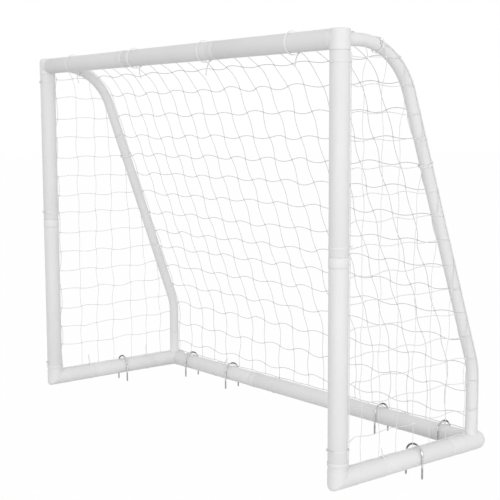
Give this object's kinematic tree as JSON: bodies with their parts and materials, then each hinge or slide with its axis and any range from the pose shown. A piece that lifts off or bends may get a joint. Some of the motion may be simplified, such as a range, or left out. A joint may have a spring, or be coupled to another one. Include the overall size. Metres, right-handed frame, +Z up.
{
  "type": "portable soccer goal",
  "caption": "Free-standing tube-frame ball goal with bent rear stays, netting tied on at its edges, and wire stakes over the ground bars.",
  "frame": {"origin": "middle of the outline in plan, level with the tips of the stakes; the frame's underside is 37 mm above it", "axes": "+X along the crossbar, +Y from the mouth towards the back, +Z up"},
  "size_m": [1.9896, 0.7886, 1.5387],
  "materials": {
    "tube_plastic": "satin",
    "fitting_plastic": "satin",
    "net_cord": "matte",
    "tie_plastic": "satin",
    "stake_steel": "galvanised"
  },
  "bodies": {
    "frame": {"crossbar_coupling_1": "fitting_plastic", "crossbar_coupling_2": "fitting_plastic", "crossbar_tube_1": "tube_plastic", "crossbar_tube_2": "tube_plastic", "crossbar_tube_3": "tube_plastic", "front_elbow_left": "fitting_plastic", "front_elbow_right": "fitting_plastic", "net_back": "net_cord", "net_foot": "net_cord", "net_left": "net_cord", "net_right": "net_cord", "net_roof": "net_cord", "post_left_coupling": "fitting_plastic", "post_left_lower": "tube_plastic", "post_left_upper": "tube_plastic", "post_right_coupling": "fitting_plastic", "post_right_lower": "tube_plastic", "post_right_upper": "tube_plastic", "rear_bar_coupling_1": "fitting_plastic", "rear_bar_coupling_2": "fitting_plastic", "rear_bar_tube_1": "tube_plastic", "rear_bar_tube_2": "tube_plastic", "rear_bar_tube_3": "tube_plastic", "rear_corner_left": "fitting_plastic", "rear_corner_right": "fitting_plastic", "side_bar_left": "tube_plastic", "side_bar_right": "tube_plastic", "stay_left_lower": "tube_plastic", "stay_left_middle": "tube_plastic", "stay_left_upper": "tube_plastic", "stay_right_lower": "tube_plastic", "stay_right_middle": "tube_plastic", "stay_right_upper": "tube_plastic", "tie_crossbar_1": "tie_plastic", "tie_crossbar_2": "tie_plastic", "tie_crossbar_3": "tie_plastic", "tie_crossbar_4": "tie_plastic", "tie_post_left_1": "tie_plastic", "tie_post_left_2": "tie_plastic", "tie_post_left_3": "tie_plastic", "tie_post_right_1": "tie_plastic", "tie_post_right_2": "tie_plastic", "tie_post_right_3": "tie_plastic", "tie_rear_1": "tie_plastic", "tie_rear_2": "tie_plastic", "tie_rear_3": "tie_plastic", "tie_rear_4": "tie_plastic", "tie_rear_5": "tie_plastic", "tie_side_left_1": "tie_plastic", "tie_side_left_2": "tie_plastic", "tie_side_right_1": "tie_plastic", "top_corner_left": "fitting_plastic", "top_corner_right": "fitting_plastic"},
    "stake_left": {"stake_left": "stake_steel"},
    "stake_rear_1": {"stake_rear_1": "stake_steel"},
    "stake_rear_2": {"stake_rear_2": "stake_steel"},
    "stake_rear_3": {"stake_rear_3": "stake_steel"},
    "stake_rear_4": {"stake_rear_4": "stake_steel"},
    "stake_right": {"stake_right": "stake_steel"}
  },
  "joints": [
    {"name": "stake_left_lift", "type": "slide", "parent": "frame", "child": "stake_left", "axis": [0, 0, 1], "range_m": [-0.006, 0.07]},
    {"name": "stake_rear_1_lift", "type": "slide", "parent": "frame", "child": "stake_rear_1", "axis": [0, 0, 1], "range_m": [-0.006, 0.07]},
    {"name": "stake_rear_2_lift", "type": "slide", "parent": "frame", "child": "stake_rear_2", "axis": [0, 0, 1], "range_m": [-0.006, 0.07]},
    {"name": "stake_rear_3_lift", "type": "slide", "parent": "frame", "child": "stake_rear_3", "axis": [0, 0, 1], "range_m": [-0.006, 0.07]},
    {"name": "stake_rear_4_lift", "type": "slide", "parent": "frame", "child": "stake_rear_4", "axis": [0, 0, 1], "range_m": [-0.006, 0.07]},
    {"name": "stake_right_lift", "type": "slide", "parent": "frame", "child": "stake_right", "axis": [0, 0, 1], "range_m": [-0.006, 0.07]}
  ]
}
